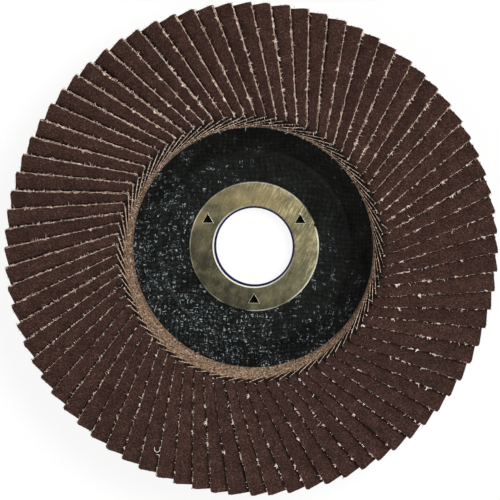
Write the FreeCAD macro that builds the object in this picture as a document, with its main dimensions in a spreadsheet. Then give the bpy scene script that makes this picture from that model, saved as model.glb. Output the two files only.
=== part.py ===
# Flap wheel for a small angle grinder, 101.6 mm across, with a 16 mm bore.
# Eighty cloth flaps are shingled round a dished plate of glass fibre and resin. The working face is up.
# Millimetres. The origin is on the bore's axis at the hub's back face, and +Z points to the working face.
import FreeCAD, Part
import os
import Sketcher

# The driving sizes: alias, value, what it is.
SIZES = (
    ("bore_radius", 8.0, "inside of the centre ring's collar"),
    ("sheet_thick", 0.8, "steel sheet of the centre ring"),
    ("flange_radius", 13.5, "rim of the centre ring"),
    ("mouth_bevel", 0.5, "turned edge where the collar meets the flange"),
    ("rim_bevel", 0.15, "broken edge round the flange"),
    ("flare_depth", 0.6, "height of the collar's flared end"),
    ("flare_lift", 0.1, "how far the flared end stays above the hub's back"),
    ("claw_side", 2.16, "side of each punched triangle"),
    ("claw_circle", 11.1, "radius of the circle through the triangles' middles"),
    ("claw_count", 3, "punched triangles in the flange"),
    ("claw_start", 30.0, "angle of the first triangle"),
    ("claw_wall", 0.3, "thickness of the lip that each punch turns down"),
    ("claw_depth", 0.6, "how far the lip bites into the plate"),
    ("nick_angle", 19.4, "place of the knock in the flange's rim"),
    ("nick_width", 1.0, "width of the knock"),
    ("nick_depth", 0.4, "depth of the knock"),
    ("fit_gap", 0.05, "clearance of the centre ring in the plate"),
    ("plate_thick", 2.2, "moulded plate, hub and annulus alike"),
    ("plate_rise", 4.0, "how far the annulus is set forward of the hub"),
    ("floor_radius", 19.7, "flat floor of the hub's recess"),
    ("bend_round", 1.6, "inside radius of the bend round the plate's floor"),
    ("plate_edge_bevel", 0.4, "broken outer edge of the plate"),
    ("bed_thick", 0.3, "resin under the flaps' lowest edges"),
    ("bed_ridge", 0.9, "most that the resin rises between the flaps"),
    ("bed_margin", 0.8, "plate left bare outside the resin"),
    ("foot_margin", 0.3, "resin that shows inside the flaps' feet"),
    ("lip_margin", 0.3, "plate that shows inside the resin"),
    ("foot_radius", 25.2, "from the axis to the middle of a flap's inner edge"),
    ("flap_count", 80, "flaps round the wheel"),
    ("flap_length", 24.4, "flap, along the radius"),
    ("flap_width", 23.45, "flap, across the radius"),
    ("flap_thick", 0.6, "coated cloth"),
    ("flap_gap", 0.04, "daylight between two flaps at their feet"),
    ("flap_start", 12.5, "angle of the first flap's middle line"),
    ("overhang", 3.6, "how far the flaps' outer edges stand past the plate"),
)
FLAPS_PER_NODE = 2

doc = FreeCAD.newDocument("flap_wheel")
sheet = doc.addObject("Spreadsheet::Sheet", "Sizes")
for row, (alias, value, note) in enumerate(SIZES, start=1):
    sheet.set(f"A{row}", alias)
    sheet.set(f"B{row}", str(value))
    sheet.set(f"C{row}", note)
    sheet.setAlias(f"B{row}", alias)
doc.recompute()


def cell(alias):
    """The expression that reads one size from the sheet."""
    return f"Sizes.{alias}"


def number(expression):
    """What an expression gives with the sheet as it stands, as a plain number."""
    result = sheet.evalExpression(expression)
    return float(getattr(result, "Value", result))


# Sizes that follow from the driving ones.
# A flap leans until it just clears the next one at its foot, where they stand closest.
PITCH = f"(360 / {cell('flap_count')})"
LEAN = f"asin(({cell('flap_thick')} + {cell('flap_gap')}) / ({cell('foot_radius')} * sin({PITCH})))"
HUB_FRONT = cell("plate_thick")
ANNULUS_BACK = cell("plate_rise")
ANNULUS_FRONT = f"({cell('plate_rise')} + {cell('plate_thick')})"
BED_INNER = f"({cell('foot_radius')} - {cell('foot_margin')})"
LIP_RADIUS = f"({BED_INNER} - {cell('lip_margin')})"
PLATE_RADIUS = f"({cell('foot_radius')} + {cell('flap_length')} - {cell('overhang')})"
BED_OUTER = f"({PLATE_RADIUS} - {cell('bed_margin')})"
SEAT = f"({ANNULUS_FRONT} + {cell('bed_thick')})"
COLLAR_RADIUS = f"({cell('bore_radius')} + {cell('sheet_thick')})"
PLATE_BORE = f"({COLLAR_RADIUS} + {cell('fit_gap')})"


def flap_place(turn, inward="0", margin="0"):
    """The Placement of a flap's box: its middle on the radius at the angle turn, leaning down
    anticlockwise, with its lowest edge on the seat. inward lengthens it towards the axis."""
    middle_height = (f"{SEAT} + ({cell('flap_width')} * sin({LEAN})"
                     f" + {cell('flap_thick')} * cos({LEAN})) / 2")
    turned = f"placement(vector(0; 0; 0); rotation(vector(0; 0; 1); {turn}))"
    leaned = (f"placement(vector({cell('foot_radius')} - ({inward}); 0; {middle_height});"
              f" rotation(vector(1; 0; 0); -{LEAN}))")
    centred = (f"placement(vector(0; -{cell('flap_width')} / 2 - ({margin}); -{cell('flap_thick')} / 2);"
               " rotation(vector(0; 0; 1); 0))")
    return f"{turned} * {leaned} * {centred}"


def new_body(label):
    """An empty body, whose label names its file."""
    body = doc.addObject("PartDesign::Body", label)
    body.Label = label
    return body


def origin_part(body, role):
    """One of the body's own origin planes or axes, found by its role."""
    return next(part for part in body.Origin.OriginFeatures if part.Role == role)


def outline(body, name, plane, points):
    """A closed sketch of straight lines through points whose coordinates are expressions.
    A coordinate of "0" puts its point on the sketch's axis."""
    sketch = body.newObject("Sketcher::SketchObject", name)
    sketch.AttachmentSupport = (origin_part(body, plane), [""])
    sketch.MapMode = "FlatFace"
    places = [FreeCAD.Vector(number(x), number(y), 0) for x, y in points]
    for index, place in enumerate(places):
        sketch.addGeometry(Part.LineSegment(place, places[(index + 1) % len(places)]), False)
    for index, (x, y) in enumerate(points):
        sketch.addConstraint(Sketcher.Constraint("Coincident", index - 1 if index else len(points) - 1, 2,
                                                 index, 1))
        for kind, axis, expression in (("DistanceX", -2, x), ("DistanceY", -1, y)):
            if expression == "0":
                sketch.addConstraint(Sketcher.Constraint("PointOnObject", index, 1, axis))
            else:
                datum = places[index].x if kind == "DistanceX" else places[index].y
                row = sketch.addConstraint(Sketcher.Constraint(kind, -1, 1, index, 1, datum))
                sketch.setExpression(f"Constraints[{row}]", expression)
    return sketch


def revolved(body, name, sketch):
    """A sketch turned once round the wheel's axis."""
    turned = body.newObject("PartDesign::Revolution", name)
    turned.Profile = sketch
    turned.ReferenceAxis = (sketch, ["V_Axis"])
    turned.Angle = 360
    sketch.Visibility = False
    doc.recompute()
    return turned


def circles_at(shape, places):
    """The names of the circular edges whose radius and height are one of the places given."""
    near = 0.001
    names = []
    for index, edge in enumerate(shape.Edges, start=1):
        if edge.Curve.TypeId != "Part::GeomCircle":
            continue
        for radius, height in places:
            if abs(edge.Curve.Radius - radius) < near and abs(edge.Curve.Center.z - height) < near:
                names.append(f"Edge{index}")
    return names


def rounded(body, name, base, places, radius):
    """A fillet on the circular edges at the places given, as pairs of expressions."""
    fillet = body.newObject("PartDesign::Fillet", name)
    wanted = [(number(r), number(z)) for r, z in places]
    fillet.Base = (base, circles_at(base.Shape, wanted))
    fillet.setExpression("Radius", radius)
    doc.recompute()
    return fillet


def bevelled(body, name, base, places, size):
    """A chamfer on the circular edges at the places given, as pairs of expressions."""
    chamfer = body.newObject("PartDesign::Chamfer", name)
    wanted = [(number(r), number(z)) for r, z in places]
    chamfer.Base = (base, circles_at(base.Shape, wanted))
    chamfer.setExpression("Size", size)
    doc.recompute()
    return chamfer


def repeated(body, name, features, count):
    """Copies of features, evenly spaced about the wheel's axis."""
    pattern = body.newObject("PartDesign::PolarPattern", name)
    pattern.Originals = features
    pattern.Axis = (origin_part(body, "Z_Axis"), [""])
    pattern.Angle = 360
    pattern.setExpression("Occurrences", count)
    body.Tip = pattern
    doc.recompute()
    return pattern


def claw_corners(grow):
    """The three corners of the first punched triangle, moved out by grow from each side.
    One corner points at the axis."""
    reach = f"({cell('claw_side')} / sqrt(3) + 2 * ({grow}))"
    middle = cell("claw_circle")
    start = cell("claw_start")
    corners = []
    for turn in (180, 300, 60):
        x = f"({middle} * cos({start}) + {reach} * cos({start} + {turn}))"
        y = f"({middle} * sin({start}) + {reach} * sin({start} + {turn}))"
        corners.append((x, y))
    return corners


def raised(sketch, height):
    """Lifts a sketch along the wheel's axis."""
    sketch.setExpression("AttachmentOffset.Base.z", height)
    doc.recompute()


def cut_down(body, name, sketch, depth):
    """A pocket from a sketch towards the hub's back. It has to take something away."""
    before = body.Shape.Volume
    pocket = body.newObject("PartDesign::Pocket", name)
    pocket.Profile = sketch
    pocket.setExpression("Length", depth)
    sketch.Visibility = False
    doc.recompute()
    if pocket.Shape.Volume >= before:
        raise RuntimeError(f"{name} cuts nothing")
    return pocket


def make_backing_plate():
    """The carrier: glass fibre and phenolic resin, pressed to a dish of even thickness."""
    body = new_body("backing_plate")
    # The wall between floor and annulus slopes, so its back is shifted outwards to keep the thickness.
    wall_run = f"({LIP_RADIUS} - {cell('floor_radius')})"
    shift = f"({cell('plate_thick')} * tan(atan({cell('plate_rise')} / {wall_run}) / 2))"
    sink_depth = (f"({cell('flare_depth')} + {cell('flare_lift')}"
                  f" + {cell('sheet_thick')} * (sqrt(2) - 1) + {cell('fit_gap')})")
    sink_radius = f"({PLATE_BORE} + {sink_depth})"
    profile = outline(body, "plate_profile", "XZ_Plane", (
        (PLATE_BORE, sink_depth),
        (PLATE_BORE, HUB_FRONT),
        (cell("floor_radius"), HUB_FRONT),
        (LIP_RADIUS, ANNULUS_FRONT),
        (PLATE_RADIUS, ANNULUS_FRONT),
        (PLATE_RADIUS, ANNULUS_BACK),
        (f"({LIP_RADIUS} + {shift})", ANNULUS_BACK),
        (f"({cell('floor_radius')} + {shift})", "0"),
        (sink_radius, "0"),
    ))
    turned = revolved(body, "plate_turned", profile)
    inside = rounded(body, "plate_bend_inside", turned, (
        (cell("floor_radius"), HUB_FRONT),
    ), cell("bend_round"))
    outside = rounded(body, "plate_bend_behind", inside, (
        (f"({cell('floor_radius')} + {shift})", "0"),
    ), f"({cell('bend_round')} + {cell('plate_thick')})")
    bevelled(body, "plate_edge", outside, (
        (PLATE_RADIUS, ANNULUS_FRONT),
        (PLATE_RADIUS, ANNULUS_BACK),
    ), cell("plate_edge_bevel"))
    # Three triangular sockets take the lips that the centre ring's punches turn down.
    seat = outline(body, "claw_socket_outline", "XY_Plane",
                   claw_corners(f"({cell('claw_wall')} + {cell('fit_gap')})"))
    raised(seat, HUB_FRONT)
    socket = cut_down(body, "claw_socket", seat, f"({cell('claw_depth')} + {cell('fit_gap')})")
    repeated(body, "claw_sockets", [socket], cell("claw_count"))
    return body


def make_centre_ring():
    """The steel eyelet: a flange on the hub's floor and a collar through the plate, flared behind it."""
    body = new_body("centre_ring")
    front = f"({HUB_FRONT} + {cell('sheet_thick')})"
    flare_top = f"({cell('flare_depth')} + {cell('flare_lift')})"
    # The sheet keeps its thickness round the flare, which leaves the collar at 45 degrees.
    half_sheet = f"({cell('sheet_thick')} / sqrt(2))"
    outer_turn = f"({flare_top} + {cell('sheet_thick')} * (sqrt(2) - 1))"
    flare_end = f"({cell('bore_radius')} + {cell('flare_depth')})"
    profile = outline(body, "ring_profile", "XZ_Plane", (
        (cell("bore_radius"), flare_top),
        (cell("bore_radius"), front),
        (cell("flange_radius"), front),
        (cell("flange_radius"), HUB_FRONT),
        (COLLAR_RADIUS, HUB_FRONT),
        (COLLAR_RADIUS, outer_turn),
        (f"({flare_end} + {half_sheet})", f"({cell('flare_lift')} + {half_sheet})"),
        (flare_end, cell("flare_lift")),
    ))
    turned = revolved(body, "ring_turned", profile)
    mouth = bevelled(body, "ring_mouth", turned, ((cell("bore_radius"), front),), cell("mouth_bevel"))
    bevelled(body, "ring_rim", mouth, ((cell("flange_radius"), front),), cell("rim_bevel"))
    # Each punch turns down a lip all round its triangle, and goes right through flange and lip.
    lip_outline = outline(body, "claw_lip_outline", "XY_Plane", claw_corners(cell("claw_wall")))
    raised(lip_outline, HUB_FRONT)
    lip = body.newObject("PartDesign::Pad", "claw_lip")
    lip.Profile = lip_outline
    lip.Reversed = True
    lip.setExpression("Length", cell("claw_depth"))
    lip_outline.Visibility = False
    doc.recompute()
    hole_outline = outline(body, "claw_outline", "XY_Plane", claw_corners("0"))
    raised(hole_outline, front)
    hole = cut_down(body, "claw_hole", hole_outline, f"({cell('sheet_thick')} + {cell('claw_depth')})")
    repeated(body, "claws", [lip, hole], cell("claw_count"))
    # The knock in the flange's rim is a shallow V.
    angle = cell("nick_angle")
    corners = []
    for out, across in ((f"(-{cell('nick_depth')})", "0"), (cell("nick_depth"), cell("nick_width")),
                        (cell("nick_depth"), f"(-{cell('nick_width')})")):
        radius = f"({cell('flange_radius')} + {out})"
        corners.append((f"({radius} * cos({angle}) - {across} * sin({angle}))",
                        f"({radius} * sin({angle}) + {across} * cos({angle}))"))
    nick_outline = outline(body, "nick_outline", "XY_Plane", corners)
    raised(nick_outline, front)
    body.Tip = cut_down(body, "nick", nick_outline, cell("sheet_thick"))
    doc.recompute()
    return body


def make_adhesive_bed():
    """The resin that holds the flaps: a flat ring whose top has set round the flaps' lower edges."""
    body = new_body("adhesive_bed")
    profile = outline(body, "bed_profile", "XZ_Plane", (
        (BED_INNER, ANNULUS_FRONT),
        (BED_INNER, f"({SEAT} + {cell('bed_ridge')})"),
        (BED_OUTER, f"({SEAT} + {cell('bed_ridge')})"),
        (BED_OUTER, ANNULUS_FRONT),
    ))
    ring = revolved(body, "bed_ring", profile)
    # Each flap presses its lower edge into the ring, and a ridge stays up between it and the next.
    press = body.newObject("PartDesign::SubtractiveBox", "flap_seat")
    inward = f"({cell('foot_radius')} - {BED_INNER} / 2)"
    press_width = f"({BED_OUTER} * tan({PITCH}) / cos({LEAN}) + {cell('flap_thick')})"
    press.setExpression("Length", f"{BED_OUTER}")
    press.setExpression("Width", press_width)
    press.setExpression("Height", f"{cell('flap_thick')} + 4 * {cell('bed_ridge')}")
    shift = f"({press_width} - {cell('flap_width')} - {cell('flap_gap')})"
    press.setExpression("Placement", flap_place(cell("flap_start"), inward, shift))
    doc.recompute()
    if press.Shape.Volume >= ring.Shape.Volume:
        raise RuntimeError("the flap's seat cuts nothing")
    repeated(body, "flap_seats", [press], cell("flap_count"))
    return body


def make_flaps():
    """The flaps: plain oblongs of abrasive cloth, glued by their lower edges. Files hold two each."""
    count = round(number(cell("flap_count")))
    nodes = []
    for first in range(0, count, FLAPS_PER_NODE):
        flaps = []
        for index in range(first, min(first + FLAPS_PER_NODE, count)):
            flap = doc.addObject("Part::Box", f"flap_{index + 1:02d}")
            flap.setExpression("Length", cell("flap_length"))
            flap.setExpression("Width", cell("flap_width"))
            flap.setExpression("Height", cell("flap_thick"))
            flap.setExpression("Placement", flap_place(f"{cell('flap_start')} + {index} * {PITCH}"))
            flaps.append(flap)
        node = doc.addObject("Part::Compound", f"flap_pair_{len(nodes) + 1:02d}")
        node.Label = node.Name
        node.Links = flaps
        nodes.append(node)
    doc.recompute()
    return nodes


def check(pieces):
    """Stops if an object of the document has failed, or if a piece's shape is missing or not valid."""
    for thing in doc.Objects:
        if "Invalid" in thing.State or "Error" in thing.State:
            raise RuntimeError(f"{thing.Name} failed: {thing.State}")
    for piece in pieces:
        if piece.Shape.isNull() or not piece.Shape.isValid():
            raise RuntimeError(f"{piece.Label} has no valid shape")


pieces = [make_backing_plate(), make_centre_ring(), make_adhesive_bed(), *make_flaps()]
doc.recompute()
check(pieces)

os.makedirs("parts", exist_ok=True)
for piece in pieces:
    piece.Shape.exportStep(f"parts/{piece.Label}.step")
print(f"{len(pieces)} files, lean {number(LEAN):.2f} degrees, seat at {number(SEAT):.2f},"
      f" top at {max(piece.Shape.BoundBox.ZMax for piece in pieces):.2f}")
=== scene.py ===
import math

import bpy
import numpy as np
from mathutils import Matrix, Vector


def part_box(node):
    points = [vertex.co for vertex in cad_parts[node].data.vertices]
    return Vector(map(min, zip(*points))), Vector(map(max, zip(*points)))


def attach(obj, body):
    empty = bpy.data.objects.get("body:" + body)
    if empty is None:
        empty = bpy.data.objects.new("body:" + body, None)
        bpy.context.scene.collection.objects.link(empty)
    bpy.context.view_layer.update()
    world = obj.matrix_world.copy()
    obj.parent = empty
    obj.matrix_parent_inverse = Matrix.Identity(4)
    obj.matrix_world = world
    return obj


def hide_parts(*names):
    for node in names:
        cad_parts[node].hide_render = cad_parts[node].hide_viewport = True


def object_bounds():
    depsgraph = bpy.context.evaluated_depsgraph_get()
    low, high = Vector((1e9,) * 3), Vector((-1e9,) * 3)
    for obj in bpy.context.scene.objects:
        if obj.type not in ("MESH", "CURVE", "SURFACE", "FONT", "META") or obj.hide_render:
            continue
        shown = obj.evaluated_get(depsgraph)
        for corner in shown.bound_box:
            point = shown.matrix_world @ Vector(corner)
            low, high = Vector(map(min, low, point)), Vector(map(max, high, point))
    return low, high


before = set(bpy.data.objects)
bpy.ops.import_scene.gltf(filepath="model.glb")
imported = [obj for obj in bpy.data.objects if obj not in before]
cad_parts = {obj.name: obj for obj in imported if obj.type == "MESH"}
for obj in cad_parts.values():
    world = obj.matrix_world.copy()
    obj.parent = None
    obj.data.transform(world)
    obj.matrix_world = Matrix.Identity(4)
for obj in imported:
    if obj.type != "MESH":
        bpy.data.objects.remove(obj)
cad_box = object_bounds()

scene = bpy.context.scene
scene.view_settings.view_transform = "Standard"


# The view. The wheel lies on its hub's back, and the photograph looks almost straight down at its
# working face, from a little to the right of the axis and a little above it in the picture.

top_of_wheel = cad_box[1][2]
wheel_radius = cad_box[1][0]
camera_distance = 0.80
lean_right = math.radians(4.1)
lean_up = math.radians(3.6)
camera_data = bpy.data.cameras.new("camera")
camera = bpy.data.objects.new("camera", camera_data)
scene.collection.objects.link(camera)
scene.camera = camera
aim = Vector((0.0, 0.0, top_of_wheel))
ray = Vector((math.tan(lean_right), math.tan(lean_up), 1.0)).normalized()
camera.location = aim + ray * camera_distance
# The picture's right edge stays level with +X, so +Y runs up the picture.
right = Vector((0.0, 1.0, 0.0)).cross(ray).normalized()
camera.rotation_euler = Matrix((right, ray.cross(right), ray)).transposed().to_euler()
# The flaps' tips come almost to the edge of the picture, which is 250 pixels from its middle.
edge_pixels = 250.0
tip_pixels = 248.2
half_picture = wheel_radius * edge_pixels / tip_pixels
camera_data.sensor_fit = "HORIZONTAL"
camera_data.angle = 2.0 * math.atan(half_picture / camera_distance)
camera_data.clip_start = 0.01


# The floor and the light. The floor shows white to the camera and in gloss, and still takes the
# wheel's shadow. A soft lamp stands up and to the right, a weaker and wider one opposite it, and a
# pale sky fills the shadows.

class Shade:
    """A shader socket that can be added, subtracted, multiplied and divided like a number."""

    def __init__(self, tree, socket):
        self.tree = tree
        self.socket = socket

    def fill(self, node, **values):
        """Puts values or links on a node's sockets. i6 names socket 6, and Base_Color the Base Color."""
        for name, value in values.items():
            key = int(name[1:]) if name[1:].isdigit() else name.replace("_", " ")
            if isinstance(value, Shade):
                self.tree.links.new(value.socket, node.inputs[key])
            else:
                node.inputs[key].default_value = value

    def node(self, kind, settings=None, **values):
        """A node of the type kind. settings go on the node first, then values or links on its sockets."""
        made = self.tree.nodes.new(kind)
        for name, setting in (settings or {}).items():
            if name == "stops":
                elements = made.color_ramp.elements
                while len(elements) < len(setting):
                    elements.new(0.5)
                for element, (place, colour) in zip(elements, setting):
                    element.position = place
                    element.color = (*colour, 1.0)
            else:
                setattr(made, name, setting)
        self.fill(made, **values)
        return made

    def maths(self, operation, first, second=0.0):
        """A Math node on two numbers or sockets."""
        made = self.node("ShaderNodeMath", {"operation": operation}, i0=first, i1=second)
        return Shade(self.tree, made.outputs[0])

    def __add__(self, other):
        return self.maths("ADD", self, other)

    def __sub__(self, other):
        return self.maths("SUBTRACT", self, other)

    def __mul__(self, other):
        return self.maths("MULTIPLY", self, other)

    def __truediv__(self, other):
        return self.maths("DIVIDE", self, other)

    def __rsub__(self, other):
        return self.maths("SUBTRACT", other, self)

    __radd__ = __add__
    __rmul__ = __mul__

    def sine(self):
        return self.maths("SINE", self)

    def clamp(self, low=0.0, high=1.0):
        """The number held between low and high."""
        return self.maths("MINIMUM", self.maths("MAXIMUM", self, low), high)

    def step(self, low, high):
        """Rises smoothly from 0 at low to 1 at high."""
        made = self.node("ShaderNodeMapRange", {"interpolation_type": "SMOOTHSTEP"},
                         Value=self, From_Min=low, From_Max=high)
        return Shade(self.tree, made.outputs[0])


def out(start, node, name=0):
    """One output of a node, ready for maths."""
    return Shade(start.tree, node.outputs[name])


def surface(name):
    """A new material, its Principled shader, and the Shade that its other nodes start from."""
    material = bpy.data.materials.new(name)
    material.use_nodes = True
    tree = material.node_tree
    return material, tree.nodes["Principled BSDF"], Shade(tree, None)


def seen_rays(start):
    """1 for the rays that show a thing, straight, in gloss or through glass, and 0 for the others."""
    paths = start.node("ShaderNodeLightPath")
    return (out(start, paths, "Is Camera Ray") + out(start, paths, "Is Glossy Ray")
            + out(start, paths, "Is Transmission Ray")).clamp()


def lamp(name, azimuth, elevation, distance, size, power):
    """A round area lamp aimed at the wheel from an azimuth and elevation in degrees."""
    data = bpy.data.lights.new(name, "AREA")
    data.shape = "DISK"
    data.size = size
    data.energy = power
    turn, rise = math.radians(azimuth), math.radians(elevation)
    place = Vector((math.cos(turn) * math.cos(rise), math.sin(turn) * math.cos(rise), math.sin(rise)))
    made = bpy.data.objects.new(name, data)
    made.location = place * distance
    made.rotation_euler = place.to_track_quat("Z", "Y").to_euler()
    scene.collection.objects.link(made)


def make_sky(sky_light):
    """A world that shows white and lights the wheel with the strength sky_light."""
    world = bpy.data.worlds.new("sky")
    scene.world = world
    world.use_nodes = True
    start = Shade(world.node_tree, None)
    start.fill(world.node_tree.nodes["Background"], Color=(1.0, 1.0, 1.0, 1.0),
               Strength=seen_rays(start) * (1.0 - sky_light) + sky_light)


def paper_material(own_white):
    """Pale paper that the shadow falls on. The share own_white of what is seen is its own white."""
    material, shader, start = surface("paper")
    start.fill(shader, Base_Color=(0.9, 0.9, 0.9, 1.0), Roughness=0.9)
    glow = start.node("ShaderNodeEmission", Strength=1.0)
    both = start.node("ShaderNodeMixShader", i0=seen_rays(start) * own_white,
                      i1=out(start, shader), i2=out(start, glow))
    start.fill(start.tree.nodes["Material Output"], Surface=out(start, both))
    return material


lamp("key_light", azimuth=32.0, elevation=56.0, distance=0.9, size=0.45, power=7.0)
lamp("fill_light", azimuth=230.0, elevation=45.0, distance=1.1, size=0.90, power=4.4)
make_sky(sky_light=0.42)

floor_half = 1.5
floor_level = -0.00002
floor_mesh = bpy.data.meshes.new("floor")
floor_mesh.from_pydata([(x, y, floor_level) for x in (-floor_half, floor_half)
                        for y in (-floor_half, floor_half)], [], [(0, 2, 3, 1)])
floor = bpy.data.objects.new("floor", floor_mesh)
scene.collection.objects.link(floor)
floor_mesh.materials.append(paper_material(own_white=0.86))


# The flaps. Eighty oblongs of cotton cloth, coated on one face with dark reddish brown grain and cut
# to size with a blade, so that the grain flakes off along each cut and bare pale cloth shows there.
# Each is glued by its lower edge and leans on the next one, with its cut edge standing out on top.

def mesh_piece(name, points, faces, shading=None):
    """An object made of points and faces in metres. shading holds values for each point by name."""
    mesh = bpy.data.meshes.new(name)
    mesh.from_pydata(np.asarray(points), [], faces)
    for key, values in (shading or {}).items():
        layer = mesh.attributes.new(key, "FLOAT", "POINT")
        layer.data.foreach_set("value", np.asarray(values, dtype=np.float32))
    mesh.update()
    piece = bpy.data.objects.new(name, mesh)
    scene.collection.objects.link(piece)
    return piece


def smooth_noise(random, count, spacing, strength):
    """One value for each of count stations: random knots every spacing stations, joined smoothly."""
    knots = random.normal(0.0, strength, int(count / spacing) + 3)
    place = np.arange(count) / spacing
    first = place.astype(int)
    share = place - first
    share = share * share * (3.0 - 2.0 * share)
    return knots[first] * (1.0 - share) + knots[first + 1] * share


flap_count = 80
flap_length = 0.0244
flap_width = 0.02345
flap_thick = 0.0006
flap_gap = 0.00004
flap_half = flap_width / 2.0
foot_radius = 0.0252
first_flap = math.radians(12.5)
pitch = 2.0 * math.pi / flap_count
turn_error = math.radians(0.10)
lean = math.asin((flap_thick + flap_gap) / (foot_radius * math.sin(pitch)))
seat_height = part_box("flap_pair_01")[0][2]
middle_height = seat_height + 0.5 * (flap_width * math.sin(lean) + flap_thick * math.cos(lean))
# How far the cut edges wander and fray, and the grain's face ripples and swells.
edge_wander = 0.00006
edge_ripple = 0.00003
edge_fray = 0.00004
end_fray = 0.00003
face_ripple = 0.000012
face_swell = 0.00005
worn_foot_corner = 0.0007
worn_outer_corner = 0.0004
out_of_square = 0.026
# How far the grain has flaked off from each cut, and where the outer end has been handled.
foot_flaking = 0.00015
edge_flaking = 0.0001
patch_flaking = 0.0011
end_flaking = 0.0002
handled_reach = 0.0003
end_line = 0.00005
# The flaps whose cut edges face the key lamp, where the most pale cloth is painted: painted light.
palest_lit_cut = math.radians(138.0)
# Painted shade beside the next flap's edge: how far it is held off on cuts that show less cloth, and a
# distance out of reach.
shade_held_off = 0.0006
off_the_face = 0.01


def flap_turned(points, turn):
    """Points on a flap lying flat (x along it from its foot, y across it, z through it), put in place:
    leaned down anticlockwise about its middle line, moved out to its foot and turned about the axis."""
    x = points[..., 0] + foot_radius
    y = points[..., 1] * math.cos(lean) + points[..., 2] * math.sin(lean)
    z = points[..., 2] * math.cos(lean) - points[..., 1] * math.sin(lean) + middle_height
    return np.stack((x * math.cos(turn) - y * math.sin(turn), x * math.sin(turn) + y * math.cos(turn), z),
                    axis=-1)


def kept_in_size(points):
    """Points brought down to the wheel's top and in to the circle of its tips, if they are past them."""
    reach = np.linalg.norm(points[:, :2], axis=1)
    level = points[:, :2] * np.minimum(1.0, wheel_radius / reach)[:, None]
    return np.column_stack((level, np.minimum(points[:, 2], top_of_wheel)))


def cloth_shown_and_lit(turn):
    """How much cloth the cuts of a flap show, which also sets how many fringe threads they carry: most on
    the flaps whose cut edges face the key lamp, and less with the cosine of the angle from there. The pale
    cloth painted on the edges that face the lamp is painted light."""
    return 0.80 + 0.33 * math.cos(turn - palest_lit_cut)


def flap_section():
    """The loop of points round the cloth's section: across it and through it. The stations of the
    face crowd towards the upper cut edge, where the grain flakes off."""
    shares = (1.0, 0.5, 0.1, -0.3, -0.5, -0.62, -0.72, -0.8, -0.87, -0.92, -0.95, -0.97, -0.985, -0.994,
              -1.0)
    face = np.array(shares) * flap_half
    edge_height = flap_thick * np.array((0.22, -0.05, -0.3))
    back = np.array((-1.0, -0.9, -0.5, 0.0, 1.0)) * flap_half
    across = np.concatenate((face, np.full(3, -flap_half), back))
    height = np.concatenate((np.full(len(face), flap_thick / 2.0), edge_height,
                             np.full(len(back), -flap_thick / 2.0)))
    return across, height


def from_next_edge(points, lit_cloth_share):
    """How far the points of a flap lying flat are from the edge of the next flap, which lies over it: that
    edge is this flap's own, turned by one pitch. On flaps whose cuts show less cloth, its points count as
    farther off, so the painted shade that this distance sets beside the edge is narrower there."""
    half_seen = flap_half * math.cos(lean)
    next_edge = ((points[..., 0] + foot_radius - half_seen * math.sin(pitch)) * math.tan(pitch)
                 - half_seen * math.cos(pitch))
    return next_edge - points[..., 1] * math.cos(lean) + shade_held_off * (1.0 - min(lit_cloth_share, 1.0))


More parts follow.
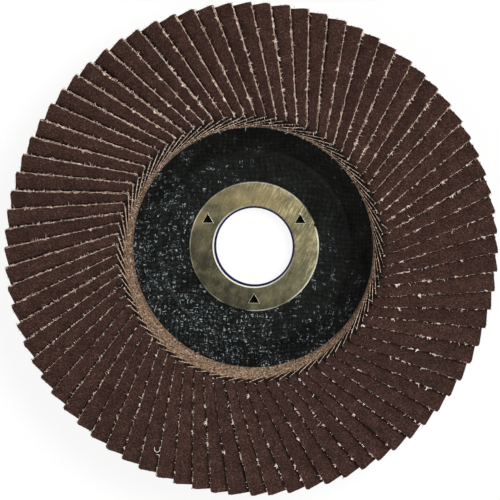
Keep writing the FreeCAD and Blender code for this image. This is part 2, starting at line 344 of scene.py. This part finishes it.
def flap_surface(random, lit_cloth_share):
    """One flap lying flat. The loop of its section is carried along the flap from foot to outer edge. Both
    cut edges wander a little, the corners are worn round and the grain's face swells and dips by a few
    hundredths of a millimetre. The given share of cloth sets how much shows along the cuts. It is largest
    where the cuts face the key lamp, which is painted light. The less clean the cut, the less cloth shows
    along it."""
    near_foot = (0.0, 0.00006, 0.00014, 0.00026, 0.00042)
    near_end = (flap_length - 0.0002, flap_length - 0.00008, flap_length)
    along = np.concatenate((near_foot, np.linspace(0.0007, flap_length - 0.0004, 82), near_end))
    across, height = flap_section()
    stations, ring = len(along), len(across)
    x = np.repeat(along[:, None], ring, axis=1)
    y = np.repeat(across[None, :], stations, axis=0)
    z = np.repeat(height[None, :], stations, axis=0)
    near_edge = np.clip(-y / flap_half, 0.0, 1.0) ** 12
    on_edge = (np.abs(y + flap_half) < 1e-7)
    wander = (smooth_noise(random, stations, 14.0, edge_wander)
              + smooth_noise(random, stations, 2.0, edge_ripple))
    y = y + near_edge * wander[:, None]
    y = y - np.abs(random.normal(0.0, edge_fray, (stations, ring)) * on_edge)
    on_face = z > flap_thick * 0.45
    z = z + on_face * random.normal(0.0, face_ripple, (stations, ring))
    z = z + near_edge * smooth_noise(random, stations, 9.0, face_swell)[:, None]
    # Both corners of the upper edge are worn round: the nearer a point is, the more it is drawn in.
    for end, reach, inward in ((0.0, worn_foot_corner, 1.0), (flap_length, worn_outer_corner, -1.0)):
        worn = np.clip(1.0 - (np.abs(x - end) + np.abs(y + flap_half)) / reach, 0.0, 1.0)
        x = x + worn * reach * 0.35 * inward
        y = y + worn * reach * 0.35
    at_ends = np.minimum(x, flap_length - x) < 0.0001
    x = x + at_ends * random.normal(0.0, end_fray, (stations, ring))
    # The blade cut the outer end a little out of square, so that the lower corner is the nearer one.
    from_top = (y + flap_half) / flap_width
    points = np.stack((x * (1.0 - out_of_square * from_top), y, z), axis=-1)
    # Cloth shows on the back, as a line in the middle of the cut faces, and wherever the grain has
    # flaked off beside them, which it does most at the foot and least at the outer end.
    from_side = np.maximum(y + flap_half, 0.0)
    patchy = smooth_noise(random, stations, 2.0, 0.16)[:, None]
    flaked = np.maximum(1.0 - x / foot_flaking, 0.68 * lit_cloth_share - from_side / edge_flaking)
    flaked = np.maximum(flaked, (0.24 + patchy) * lit_cloth_share - from_side / patch_flaking)
    flaked = np.maximum(flaked, (0.35 - 0.5 * (y > 0.0)) * lit_cloth_share - (flap_length - x) / end_flaking)
    bare = np.where(on_face, np.clip(flaked, 0.0, 1.0), 0.9)
    # Across a cut face the top keeps grain colour, where the grain layer lies, and the lower part takes
    # grain colour too: painted shade where it meets the next flap.
    cut_face = np.interp(height, flap_thick * np.array((-0.3, -0.05, 0.22)), (0.38, 1.0, 0.22))
    bare = np.where(on_edge, cut_face[None, :] * lit_cloth_share + patchy, bare)
    bare = np.where(on_edge & (height[None, :] < -0.45 * flap_thick), 0.1, bare)
    # The outer end has been handled, and dirt hides its cloth, the most on its lower half.
    handled = (x > flap_length - handled_reach) & (y > -0.3 * flap_half)
    bare = np.where(handled, bare * 0.2, bare)
    bare = np.where(x > flap_length - end_line, bare * 0.5, bare)
    return points, bare, np.where(on_face, from_next_edge(points, lit_cloth_share), off_the_face)


def tube_faces(stations, ring, offset):
    """Quads that join each loop of points to the next, and one face that closes each end."""
    row, column = np.meshgrid(np.arange(stations - 1), np.arange(ring), indexing="ij")
    after = (column + 1) % ring
    sides = np.stack((row * ring + column, row * ring + after, (row + 1) * ring + after,
                      (row + 1) * ring + column), axis=-1).reshape(-1, 4)
    low = np.arange(ring)
    last = (stations - 1) * ring + np.arange(ring)
    return (sides + offset).tolist() + [(low[::-1] + offset).tolist(), (last + offset).tolist()]


def make_flap_pair(index, random):
    """Two neighbouring flaps as one piece, with the values that their material reads."""
    points, faces, bare, beside, tone = [], [], [], [], []
    count = 0
    for number in (2 * index, 2 * index + 1):
        turn = first_flap + number * pitch + random.normal(0.0, turn_error)
        flap, mask, apart = flap_surface(random, cloth_shown_and_lit(turn))
        points.append(flap_turned(flap, turn).reshape(-1, 3))
        faces += tube_faces(*mask.shape, count)
        bare.append(mask.reshape(-1))
        beside.append(apart.reshape(-1))
        tone.append(np.full(mask.size, random.uniform(0.0, 1.0)))
        count += mask.size
    name = f"flap_pair_{index + 1:02d}"
    piece = mesh_piece(f"{name}_cloth", kept_in_size(np.concatenate(points)), faces,
                       {"bare": np.concatenate(bare), "beside": np.concatenate(beside),
                        "tone": np.concatenate(tone)})
    return piece, name


def object_place(start):
    """The place on the object, in metres."""
    return out(start, start.node("ShaderNodeTexCoord"), "Object")


def held(start, name):
    """A value that the mesh holds for each of its points."""
    return out(start, start.node("ShaderNodeAttribute", {"attribute_name": name}), "Fac")


def noise(start, place, scale, detail):
    """Noise about one half, in waves one over scale long, with detail rounds of finer ones in them."""
    return out(start, start.node("ShaderNodeTexNoise", Vector=place, Scale=scale, Detail=detail), "Fac")


def ramp(start, value, *stops):
    """A colour that runs through the stops, each a number and a colour, as value rises."""
    return out(start, start.node("ShaderNodeValToRGB", {"stops": stops}, Fac=value), "Color")


def blend(start, share, first, second):
    """The colour first where share is 0 and second where it is 1."""
    return out(start, start.node("ShaderNodeMix", {"data_type": "RGBA"}, i0=share, i6=first, i7=second), 2)


def from_axis(start, place):
    """The distance from the wheel's axis."""
    level = start.node("ShaderNodeVectorMath", {"operation": "MULTIPLY"}, i0=place, i1=(1.0, 1.0, 0.0))
    length = start.node("ShaderNodeVectorMath", {"operation": "LENGTH"}, i0=out(start, level))
    return out(start, length, "Value")


def bumps(start, height, strength, depth):
    """The surface tilted by the slopes of height, where 1 stands for depth metres."""
    return out(start, start.node("ShaderNodeBump", Height=height, Strength=strength, Distance=depth))


def lamp_side_paling(start, place):
    """How much paler the resin is painted on the side down and to the left, where its inner faces look
    towards the key lamp: painted light. A number that grows with the distance that way from the axis."""
    parts = start.node("ShaderNodeSeparateXYZ", Vector=place)
    distance = 0.0 - (out(start, parts, "X") * 0.45 + out(start, parts, "Y") * 0.89)
    return (distance / foot_radius).clamp(-0.3, 1.0) * 0.15


def flap_material():
    """Grain where the value bare is low and raw cloth where it is high, with a ragged border."""
    material, shader, start = surface("coated_cloth")
    place = object_place(start)
    fine = noise(start, place, 3600.0, 4.0)
    middle = noise(start, place, 2300.0, 1.0)
    broad = noise(start, place, 420.0, 4.0)
    grain = ramp(start, fine * 1.4 + broad * 0.35 - 0.41 + (held(start, "tone") - 0.5) * 0.06,
                 (0.25, (0.010, 0.0050, 0.0040)), (0.5, (0.036, 0.0165, 0.0125)),
                 (0.68, (0.072, 0.034, 0.026)), (0.85, (0.14, 0.085, 0.068)))
    cloth = ramp(start, fine * 0.75 + broad * 0.25, (0.3, (0.30, 0.18, 0.135)),
                 (0.5, (0.62, 0.44, 0.33)), (0.75, (0.88, 0.74, 0.60)))
    # Painted light: paler resin, and more of it, on the side down and to the left, where the feet face the
    # key lamp.
    lamp_paling = lamp_side_paling(start, place)
    glue = ramp(start, fine * 1.8 + middle * 1.3 - 1.05 + lamp_paling, (0.25, (0.055, 0.034, 0.021)),
                (0.65, (0.210, 0.132, 0.080)), (1.0, (0.50, 0.34, 0.22)))
    # The resin wets the feet where they come nearest the axis, and is painted farther out down and to the
    # left as painted light.
    radius = from_axis(start, place)
    wet_reach = foot_radius + lamp_paling * 0.006
    glued = 1.0 - (radius - wet_reach + (broad - 0.5) * 0.0006).step(0.0003, 0.0007)
    # Grain covers the cloth better towards the feet.
    feet = 1.0 - radius.step(0.029, 0.033)
    rough_border = (fine - 0.5) * 0.9 + (middle - 0.5) * 0.9 + (broad - 0.5) * 0.4
    ragged = (held(start, "bare") - feet * 0.12 + rough_border).step(0.36, 0.64)
    colour = blend(start, ragged, grain, cloth)
    # Painted shade darkens the narrow gaps between the feet, less on the side painted paler by light, and
    # the corner beside the next flap's edge.
    gap_shade = (1.0 - radius.step(0.0268, 0.0286)) * (0.72 - lamp_paling * 5.0)
    corner = (1.0 - (held(start, "beside") + (fine - 0.5) * 0.0003).step(0.00036, 0.00072)) * 0.92
    shaded = blend(start, (gap_shade + corner).clamp() * (1.0 - ragged), colour, (0.004, 0.0025, 0.0018, 1.0))
    cells = start.node("ShaderNodeTexVoronoi", Vector=place, Scale=5600.0)
    start.fill(shader, Base_Color=blend(start, glued * 0.85, shaded, glue),
               Roughness=0.7 + ragged * 0.25 - glued * 0.3, Specular_IOR_Level=0.08,
               Normal=bumps(start, out(start, cells, "Distance") * 0.8 + fine * 0.6, 0.55, 0.00012))
    return material


cloth_material = flap_material()
for index in range(flap_count // 2):
    pair, node = make_flap_pair(index, np.random.default_rng(400 + index))
    pair.data.materials.append(cloth_material)
    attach(pair, "root")
    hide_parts(node)


# The frayed threads. The blade leaves the cotton's ends loose, so every cut edge carries a fringe of
# short fibres, and here and there a tuft of longer ones that has worked free and curled over the edge.

thread_corners = 3
fibre_radius = 0.000065
fringe_counts = {"long": 150, "foot": 36, "outer": 14}
fringe_rings = 3
fringe_least = 0.0001
fringe_spread = 0.00005
root_depth = 0.00002
tuft_count = 8
tuft_fibres = 12
tuft_rings = 5
tuft_spread = 0.00012
tuft_least = 0.00012
tuft_most = 0.00028
longest_tufts = math.radians(15.0)
# Two thick weft yarns cross the cloth that some of the flaps were cut from, so that their ends come
# a little farther out on each flap than on the one before: first and last flap, then how far along.
yarn_rows = ((57, 66, 0.36, 0.72), (56, 67, 0.50, 0.92))


def threads(random, roots, directions, lengths, thickness, curl, rings):
    """Thin three-sided tubes, one for each root. A thread leaves its root along its direction and
    bends by curl times its length, as a parabola, and it thins towards its end."""
    count = len(roots)
    along = np.linspace(0.0, 1.0, rings)
    bend = random.normal(0.0, 1.0, (count, 3)) * curl
    path = (roots[:, None, :] + lengths[:, None, None] * (along[None, :, None] * directions[:, None, :]
            + along[None, :, None] ** 2 * bend[:, None, :]))
    aside = np.cross(directions, random.normal(0.0, 1.0, (count, 3)))
    aside /= np.linalg.norm(aside, axis=1, keepdims=True)
    other = np.cross(directions, aside)
    other /= np.linalg.norm(other, axis=1, keepdims=True)
    corner = np.arange(thread_corners) * 2.0 * math.pi / thread_corners
    spoke = (np.cos(corner)[None, :, None] * aside[:, None, :]
             + np.sin(corner)[None, :, None] * other[:, None, :])
    radius = thickness * random.uniform(0.7, 1.3, (count, 1)) * (1.0 - 0.6 * along)[None, :]
    points = path[:, :, None, :] + radius[:, :, None, None] * spoke[:, None, :, :]
    return points.reshape(-1, 3)


def thread_faces(count, rings, offset):
    """The sides of count threads with a number of rings, and a triangle that closes each end."""
    start = np.arange(count)[:, None] * rings * thread_corners
    first = start[:, :, None]
    ring = np.arange(rings - 1)[None, :, None] * thread_corners
    corner = np.arange(thread_corners)[None, None, :]
    after = (corner + 1) % thread_corners
    sides = np.stack((first + ring + corner, first + ring + after, first + ring + thread_corners + after,
                      first + ring + thread_corners + corner), axis=-1).reshape(-1, 4)
    start_cap = start + np.array((2, 1, 0))
    end_cap = start + (rings - 1) * thread_corners + np.array((0, 1, 2))
    return (sides + offset).tolist() + (start_cap + offset).tolist() + (end_cap + offset).tolist()


def edge_roots(random, edge, count, spread):
    """Roots on one cut edge of a flat flap, and directions that point away from it within spread."""
    run = random.uniform(0.0, 1.0, count)
    depth = random.uniform(-0.45, 0.35, count) * flap_thick
    if edge == "long":
        roots = np.stack((run * flap_length, np.full(count, -flap_half + root_depth), depth), axis=1)
        outward = np.array((0.0, -1.0, 0.25))
    else:
        across = -flap_half + flap_width * (1.0 if edge == "foot" else 0.4) * run ** 1.6
        outward = np.array((-1.0, 0.0, 0.15)) if edge == "foot" else np.array((1.0, 0.0, 0.1))
        x = root_depth if edge == "foot" else flap_length - root_depth
        roots = np.stack((np.full(count, x), across, depth), axis=1)
    directions = outward + random.normal(0.0, spread, (count, 3))
    return roots, directions / np.linalg.norm(directions, axis=1, keepdims=True)


def fringe_along(random, edge, count):
    """Short threads along one cut edge of a flat flap, and a shade for each of their points. Each is
    fringe_least long, and a random length more that averages three times fringe_spread."""
    roots, directions = edge_roots(random, edge, count, 0.6)
    lengths = random.gamma(3.0, fringe_spread, count) + fringe_least
    made = threads(random, roots, directions, lengths, thickness=fibre_radius * 1.15, curl=0.5,
                   rings=fringe_rings)
    return made, np.repeat(random.uniform(0.2, 1.0, count), fringe_rings * thread_corners)


def tufts(random, number, turn):
    """Bunches of longer threads on the long edge of the flap of this number, lying flat, and a shade
    for each of their points. The thick yarns' ends make larger bunches at chosen places."""
    anchors, leaving = edge_roots(random, "long", tuft_count, 0.6)
    grown = np.ones(tuft_count)
    for order, (first, last, start_run, end_run) in enumerate(yarn_rows):
        if first <= number <= last:
            run = start_run + (end_run - start_run) * (number - first) / (last - first)
            anchors[order, 0] = (run + random.normal(0.0, 0.012)) * flap_length
            grown[order] = 1.6
    roots = np.repeat(anchors, tuft_fibres, axis=0)
    roots = roots + random.normal(0.0, tuft_spread, roots.shape) * np.array((1.3, 0.5, 0.7))
    directions = np.repeat(leaving, tuft_fibres, axis=0) + random.normal(0.0, 0.32, roots.shape)
    directions /= np.linalg.norm(directions, axis=1, keepdims=True)
    count = len(roots)
    # The longest tufts have worked free on the side to the right.
    grown *= 0.75 + 0.35 * math.cos(turn - longest_tufts)
    size = np.repeat(random.gamma(2.2, 0.36, tuft_count).clip(0.3, 1.7) * grown, tuft_fibres)
    lengths = random.uniform(tuft_least, tuft_most, count) * size
    made = threads(random, roots, directions, lengths, thickness=fibre_radius * 1.65, curl=0.6,
                   rings=tuft_rings)
    shades = np.clip(random.uniform(0.4, 0.9, count) + size * 0.12, 0.0, 1.0)
    return made, np.repeat(shades, tuft_rings * thread_corners)


def make_threads(index, random):
    """The fringe and tufts of the two flaps of one node."""
    points, faces, shades = [], [], []
    total = 0
    for number in (2 * index, 2 * index + 1):
        turn = first_flap + number * pitch
        for edge, most in fringe_counts.items():
            count = round(most * min(cloth_shown_and_lit(turn), 1.0) ** 2.8)
            made, shade = fringe_along(random, edge, count)
            points.append(flap_turned(made, turn))
            faces += thread_faces(count, fringe_rings, total)
            shades.append(shade)
            total += len(made)
        made, shade = tufts(random, number, turn)
        points.append(flap_turned(made, turn))
        faces += thread_faces(tuft_count * tuft_fibres, tuft_rings, total)
        shades.append(shade)
        total += len(made)
    return mesh_piece(f"flap_pair_{index + 1:02d}_threads", kept_in_size(np.concatenate(points)), faces,
                      {"tone": np.concatenate(shades)})


def thread_material():
    """Raw cotton, from brown where resin has soaked it to nearly white."""
    material, shader, start = surface("raw_cotton")
    colour = ramp(start, held(start, "tone"), (0.0, (0.22, 0.13, 0.095)),
                  (0.45, (0.58, 0.43, 0.35)), (1.0, (0.90, 0.80, 0.72)))
    start.fill(shader, Base_Color=colour, Roughness=0.9, Specular_IOR_Level=0.2)
    return material


cotton = thread_material()
for index in range(flap_count // 2):
    fringe = make_threads(index, np.random.default_rng(900 + index))
    fringe.data.materials.append(cotton)
    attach(fringe, "root")


# The loose thread. On one flap a single cotton thread has worked out of the cut edge and stands in a
# hook over the grain.

def make_loose_thread():
    """A closed tube of five corners. Its path is an arc of a circle that rises at one end, with a
    straight tail back into the cut edge."""
    middle = np.array((-0.0192, -0.0411))
    hook_radius = 0.00055
    below_top = 0.0004
    rise = 0.0003
    corners = 5
    arc = np.radians(np.linspace(155.0, 345.0, 24))
    path = np.stack((middle[0] + hook_radius * np.cos(arc), middle[1] + hook_radius * 1.3 * np.sin(arc),
                     top_of_wheel - below_top + rise * np.linspace(1.0, 0.0, len(arc))), axis=1)
    tail = path[-1] + np.linspace(0.15, 1.0, 6)[:, None] * np.array((0.0003, -0.0001, -0.0007))
    path = np.concatenate((path, tail))
    along = np.gradient(path, axis=0)
    along /= np.linalg.norm(along, axis=1, keepdims=True)
    aside = np.cross(along, (0.0, 0.0, 1.0))
    aside /= np.linalg.norm(aside, axis=1, keepdims=True)
    other = np.cross(along, aside)
    corner = np.arange(corners) * 2.0 * math.pi / corners
    thick = fibre_radius * 0.9
    points = path[:, None, :] + thick * (np.cos(corner)[None, :, None] * aside[:, None, :]
                                         + np.sin(corner)[None, :, None] * other[:, None, :])
    points[..., 2] = np.minimum(points[..., 2], top_of_wheel)
    return mesh_piece("loose_thread", points.reshape(-1, 3), tube_faces(len(path), corners, 0),
                      {"tone": np.full(corners * len(path), 0.9)})


loose_thread = make_loose_thread()
loose_thread.data.materials.append(cotton)
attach(loose_thread, "root")


# The adhesive bed. A ring of tan resin, poured on the plate and set round the flaps' lower edges.
# Only its inner border shows, as a thin line between the dark recess and the flaps' feet.

def resin_material():
    """Set resin: tan, a little glossy, with small waves in it, and painted light that makes it paler down
    and to the left.
    """
    material, shader, start = surface("set_resin")
    place = object_place(start)
    grain = noise(start, place, 2600.0, 4.0)
    colour = ramp(start, grain * 2.6 - 0.8 + lamp_side_paling(start, place), (0.25, (0.065, 0.042, 0.026)),
                  (0.65, (0.215, 0.140, 0.086)), (1.0, (0.50, 0.34, 0.22)))
    start.fill(shader, Base_Color=colour, Roughness=0.35 + grain * 0.3,
               Normal=bumps(start, grain, 0.5, 0.0001))
    return material


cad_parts["adhesive_bed"].data.materials.clear()
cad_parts["adhesive_bed"].data.materials.append(resin_material())


# The backing plate. Plies of woven glass roving are pressed hot with black phenolic resin. The top ply
# stands out of the resin in the dish, and painted glints of its glass show where the resin over it is thin.

weave_pitch = 0.00104
ply_start = 0.01335
ply_end = 0.02488
floor_height = 0.0022
floor_radius = 0.0197
bend_round = 0.0016
lip_radius = 0.0246
dish_depth = 0.0040
relief = 0.00015
least_lift = 0.00005
ply_sink = 0.00008
ply_roughness = 0.000004
fade_at_ring = 0.0004
fade_at_lip = 0.0003
across_dish = 0.034
slope = math.atan2(dish_depth, lip_radius - floor_radius)


def weave_height(across, along, random):
    """A plain weave: at each crossing the roving on top swells as half a sine along itself and is
    rounded across itself, with three strands in it, and each crossing has its own share of height."""
    column, row = np.floor(across).astype(int), np.floor(along).astype(int)
    lots = random.uniform(0.35, 1.0, (64, 64))
    share = lots[column % 64, row % 64]
    within_x, within_y = across - column, along - row
    warp_on_top = (column + row) % 2 == 0
    lengthwise = np.where(warp_on_top, within_y, within_x)
    crosswise = np.where(warp_on_top, within_x, within_y)
    swell = np.sin(math.pi * lengthwise) * np.sin(math.pi * crosswise) ** 0.5
    strands = 1.0 - 0.30 * (0.5 + 0.5 * np.cos(6.0 * math.pi * crosswise))
    return swell * strands * share


def closed_grid_faces(rows, columns):
    """Quads of a grid of points whose last row joins the first, and last column the first."""
    row, column = np.meshgrid(np.arange(rows), np.arange(columns), indexing="ij")
    next_row, next_column = (row + 1) % rows, (column + 1) % columns
    return np.stack((row * columns + column, next_row * columns + column, next_row * columns + next_column,
                     row * columns + next_column), axis=-1).reshape(-1, 4)


def dish_section(rows, back_rows):
    """The dish's section out from the ring and back again: how far each row has run, its radius and
    height, and its tilt. It follows the floor, the bend, the sloping wall and the lip."""
    cut_back = bend_round * math.tan(slope / 2.0)
    flat_run = floor_radius - cut_back - ply_start
    arc_run = bend_round * slope
    wall_run = math.hypot(lip_radius - floor_radius, dish_depth) - cut_back
    whole_run = flat_run + arc_run + wall_run + (ply_end - lip_radius)
    run = np.concatenate((np.linspace(0.0, whole_run, rows), np.linspace(whole_run, 0.0, back_rows)))
    bent = np.clip(run - flat_run, 0.0, arc_run) / bend_round
    sloped = np.clip(run - flat_run - arc_run, 0.0, wall_run)
    level = np.clip(run - flat_run - arc_run - wall_run, 0.0, None)
    radius = (ply_start + np.minimum(run, flat_run) + bend_round * np.sin(bent)
              + sloped * math.cos(slope) + level)
    height = floor_height + bend_round * (1.0 - np.cos(bent)) + sloped * math.sin(slope)
    return run, radius, height, np.where(level > 0.0, 0.0, bent)


def make_top_ply():
    """The dish's lining as a closed sheet: its section carried round the axis, with the weave's
    height on its upper side. The weave is laid out on the dish as if unrolled."""
    random = np.random.default_rng(77)
    rows, back_rows, turns = 92, 8, 860
    run, radius, height, tilt = dish_section(rows, back_rows)
    turn = np.arange(turns) * 2.0 * math.pi / turns
    laid_x = (ply_start + run)[:, None] * np.cos(turn)[None, :] / weave_pitch
    laid_y = (ply_start + run)[:, None] * np.sin(turn)[None, :] / weave_pitch
    # The rovings wander by up to 0.7 of a pitch.
    across = laid_x + 0.50 * np.sin(0.33 * laid_y + 1.0) + 0.20 * np.sin(0.37 * laid_x + 0.6 * laid_y)
    along = laid_y + 0.50 * np.sin(0.29 * laid_x + 2.0) + 0.20 * np.sin(0.71 * laid_y - 0.3 * laid_x)
    crest = weave_height(across, along, random)
    # The resin lies thicker up and to the right, where the weave nearly drowns in it.
    thick_resin = np.clip(0.5 + (laid_x * 0.7 + laid_y * 0.7) * weave_pitch / across_dish, 0.0, 1.0)
    lift = relief * crest * (1.0 - 0.92 * thick_resin) + random.normal(0.0, ply_roughness, crest.shape)
    fade = np.clip(run / fade_at_ring, 0.0, 1.0) * np.clip((run.max() - run) / fade_at_lip, 0.0, 1.0)
    lift = np.maximum(lift, 0.0) * fade[:, None] + least_lift
    lift[rows:] = -ply_sink
    spread = radius[:, None] - lift * np.sin(tilt)[:, None]
    raised = height[:, None] + lift * np.cos(tilt)[:, None]
    points = np.stack((spread * np.cos(turn)[None, :], spread * np.sin(turn)[None, :], raised), axis=-1)
    return mesh_piece("top_ply", points.reshape(-1, 3), closed_grid_faces(rows + back_rows, turns).tolist(),
                      {"across": across.reshape(-1), "along": along.reshape(-1),
                       "crest": crest.reshape(-1), "thick": thick_resin.reshape(-1)})


def ply_material():
    """Black resin over glass. Short pale streaks, painted glints of the glass, lie along the roving that is
    on top at a crossing, at some crossings only, and fewer of them where the resin is thick."""
    material, shader, start = surface("glass_and_resin")
    place = object_place(start)
    across, along = held(start, "across"), held(start, "along")
    crest, thick_resin = held(start, "crest"), held(start, "thick")
    column, row = start.maths("FLOOR", across), start.maths("FLOOR", along)
    odd = start.maths("PINGPONG", column + row, 1.0)
    streaks = []
    for scale_x, scale_y in ((3.9, 1.2), (1.2, 3.9)):
        laid = start.node("ShaderNodeCombineXYZ", X=across * scale_x, Y=along * scale_y)
        streaks.append(noise(start, out(start, laid), 1.0, 1.0).step(0.52, 0.66))
    streak = streaks[0] * (1.0 - odd) + streaks[1] * odd
    cell = start.node("ShaderNodeCombineXYZ", X=column, Y=row)
    lots = start.node("ShaderNodeTexWhiteNoise", {"noise_dimensions": "2D"}, Vector=out(start, cell))
    patches = noise(start, place, 230.0, 2.0)
    fibre = noise(start, place, 3800.0, 3.0)
    # Painted glints: pale streaks put into the colour, at the crossings chosen here.
    glinting = (out(start, lots, "Value") * 0.7 + patches * 0.9 - thick_resin * 0.60).step(0.32, 0.95)
    painted_glint = streak * glinting * (crest + fibre * 0.5 - 0.25).step(0.0, 0.3) * (fibre * 1.8)
    ground = ramp(start, fibre * 0.6 + patches * 0.3 + crest * 0.27 - 0.02,
                  (0.35, (0.0006, 0.0009, 0.0007)), (0.75, (0.0150, 0.0165, 0.0145)))
    colour = blend(start, (painted_glint * painted_glint * 0.70 + painted_glint * 0.07).clamp(), ground, (0.42, 0.49, 0.52, 1.0))
    start.fill(shader, Base_Color=colour, Roughness=0.30 + fibre * 0.2, Specular_IOR_Level=0.04,
               Normal=bumps(start, streak * 0.5 + fibre * 0.5, 0.4, 0.00005))
    return material


def pressed_material():
    """The plate's other faces: black resin as it came from the mould, with the print of the cloth."""
    material, shader, start = surface("pressed_resin")
    place = object_place(start)
    parts = start.node("ShaderNodeSeparateXYZ", Vector=place)
    turn_rate = math.pi / weave_pitch
    cloth_print = (out(start, parts, "X") * turn_rate).sine() * (out(start, parts, "Y") * turn_rate).sine()
    fibre = noise(start, place, 2600.0, 4.0)
    patches = noise(start, place, 120.0, 3.0)
    colour = ramp(start, fibre * 0.6 + patches * 0.4 + cloth_print * 0.05,
                  (0.3, (0.005, 0.006, 0.006)), (0.7, (0.030, 0.033, 0.032)))
    # Painted shade darkens the sockets that show through the ring's triangles.
    under_ring = 1.0 - from_axis(start, place).step(0.0125, 0.0130)
    socket_shade = under_ring * out(start, parts, "Z").step(0.0002, 0.0005)
    start.fill(shader, Base_Color=blend(start, socket_shade * 0.95, colour, (0.0008, 0.0008, 0.0008, 1.0)),
               Roughness=0.36 + patches * 0.3 + socket_shade * 0.3, Specular_IOR_Level=0.15,
               Normal=bumps(start, cloth_print * 0.3 + fibre * 0.5, 0.5, 0.00008))
    return material


top_ply = make_top_ply()
top_ply.data.materials.append(ply_material())
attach(top_ply, "root")
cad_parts["backing_plate"].data.materials.clear()
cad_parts["backing_plate"].data.materials.append(pressed_material())


# The centre ring. Sheet steel, pressed to an eyelet, brushed and passivated to a dull straw colour.
# Painted highlights in pale metal lie on its mouth and rim, and each of its three punched triangles has a
# burr round it.

mouth_radius = 0.0080
mouth_bevel = 0.0005
flange_radius = 0.0135
flange_top = 0.0030
claw_side = 0.00216
claw_circle = 0.0111
burr_wander = 0.000008
brushing = math.radians(62.0)


def steel_material(name, worn_all_over):
    """Brushed, passivated steel: streaks in one direction and stains that shift it from straw to brown.
    Painted light makes it lighter, with stronger streaks, up and to the right, pale metal on the mouth and
    rim is painted highlight, and worn_all_over lays bare worn metal all over."""
    material, shader, start = surface(name)
    place = object_place(start)
    parts = start.node("ShaderNodeSeparateXYZ", Vector=place)
    x, y, height = out(start, parts, "X"), out(start, parts, "Y"), out(start, parts, "Z")
    radius = from_axis(start, place)
    brushed = start.node("ShaderNodeCombineXYZ", X=(x * math.cos(brushing) + y * math.sin(brushing)) * 420.0,
                         Y=(y * math.cos(brushing) - x * math.sin(brushing)) * 3200.0)
    streak = noise(start, out(start, brushed), 1.0, 4.0)
    stain = noise(start, place, 520.0, 6.0)
    broad = noise(start, place, 130.0, 2.0)
    speckle = noise(start, place, 3100.0, 3.0)
    # Painted light: lighter steel, with stronger streaks, up and to the right.
    lit_side = (x * 0.75 + y * 0.65) / flange_radius
    depth = ((streak - 0.5) * (0.5 + lit_side * 0.6).clamp(0.25, 1.0) * 1.1 + stain * 0.65 + speckle * 0.42
             + broad * 0.30 - 0.345 + lit_side * 0.21)
    tarnish = ramp(start, depth, (0.08, (0.032, 0.030, 0.019)), (0.5, (0.125, 0.115, 0.066)),
                   (0.72, (0.290, 0.262, 0.150)), (0.95, (0.52, 0.49, 0.32)))
    # The passivation has a golden cast in broad patches on the upper half.
    golden = (broad.step(0.42, 0.62) * (y / flange_radius + 0.35).clamp()) * 0.35
    cast = blend(start, golden, tarnish, (0.30, 0.225, 0.105, 1.0))
    # Painted highlight in pale metal on the lower left of the mouth, where its bevel faces the key lamp, and
    # on the rim in places.
    mouth = 1.0 - radius.step(mouth_radius + mouth_bevel, mouth_radius + mouth_bevel + 0.00022)
    rim = radius.step(flange_radius - 0.00028, flange_radius - 0.00016) * (broad * 2.6 - 0.95)
    worn = (mouth * (0.5 - lit_side * 1.2).clamp() + rim.clamp() + worn_all_over).clamp()
    bright = blend(start, worn, cast, (0.86, 0.84, 0.68, 1.0))
    # The mouth is dark blue on most of the bevel and on the upper half of the bore.
    blue_part = 1.0 - radius.step(mouth_radius + 0.00034, mouth_radius + 0.00040)
    blue_part = blue_part * height.step(flange_top - 0.0022, flange_top - 0.0014)
    blue_tinted = blend(start, blue_part, bright, (0.003, 0.002, 0.070, 1.0))
    # Painted shade darkens the turned-down lips inside the triangles.
    claws = radius.step(0.0092, 0.0096) * (1.0 - radius.step(0.0126, 0.0130))
    lip_shade = (1.0 - height.step(flange_top - 0.0004, flange_top - 0.00015)) * claws
    start.fill(shader, Base_Color=blend(start, lip_shade * 0.95, blue_tinted, (0.002, 0.002, 0.002, 1.0)),
               Metallic=(0.85 - worn * 0.65) * (1.0 - blue_part), Roughness=0.36 + streak * 0.2 + blue_part * 0.4,
               Specular_IOR_Level=0.2, Normal=bumps(start, streak * 0.7 + stain * 0.3, 0.35, 0.00005))
    return material


def make_burrs():
    """The burrs: round each triangle a thin closed ridge, whose section has four corners, each so far
    outward and so far up. Its inner side slopes down into the hole, and the ridge wanders a little."""
    random = np.random.default_rng(31)
    section = ((0.00013, -0.00003), (0.00009, 0.00003), (0.00004, 0.00004), (0.0, -0.00012))
    steps = 8
    corners = np.radians((90.0, 210.0, 330.0))
    share = np.tile(np.arange(steps) / steps, len(corners))
    first = np.repeat(corners, steps)
    after = np.repeat(np.roll(corners, -1), steps)
    points, faces = [], []
    for number in range(3):
        middle = math.radians(30.0 + 120.0 * number)
        centre = claw_circle * np.array((math.cos(middle), math.sin(middle)))
        loops = []
        for outward, lift in section:
            reach = claw_side / math.sqrt(3.0) + 2.0 * outward
            x = reach * (np.cos(first) * (1.0 - share) + np.cos(after) * share)
            y = reach * (np.sin(first) * (1.0 - share) + np.sin(after) * share)
            z = flange_top + lift + random.normal(0.0, burr_wander, len(first))
            loops.append(np.stack((x + centre[0], y + centre[1], z), axis=-1))
        points.append(np.stack(loops, axis=1).reshape(-1, 3))
        faces.append(closed_grid_faces(len(first), len(section)) + number * len(first) * len(section))
    return mesh_piece("claw_burrs", np.concatenate(points), np.concatenate(faces).tolist())


burrs = make_burrs()
burrs.data.materials.append(steel_material("bright_steel", worn_all_over=0.45))
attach(burrs, "root")
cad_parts["centre_ring"].data.materials.clear()
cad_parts["centre_ring"].data.materials.append(steel_material("passivated_steel", worn_all_over=0.0))
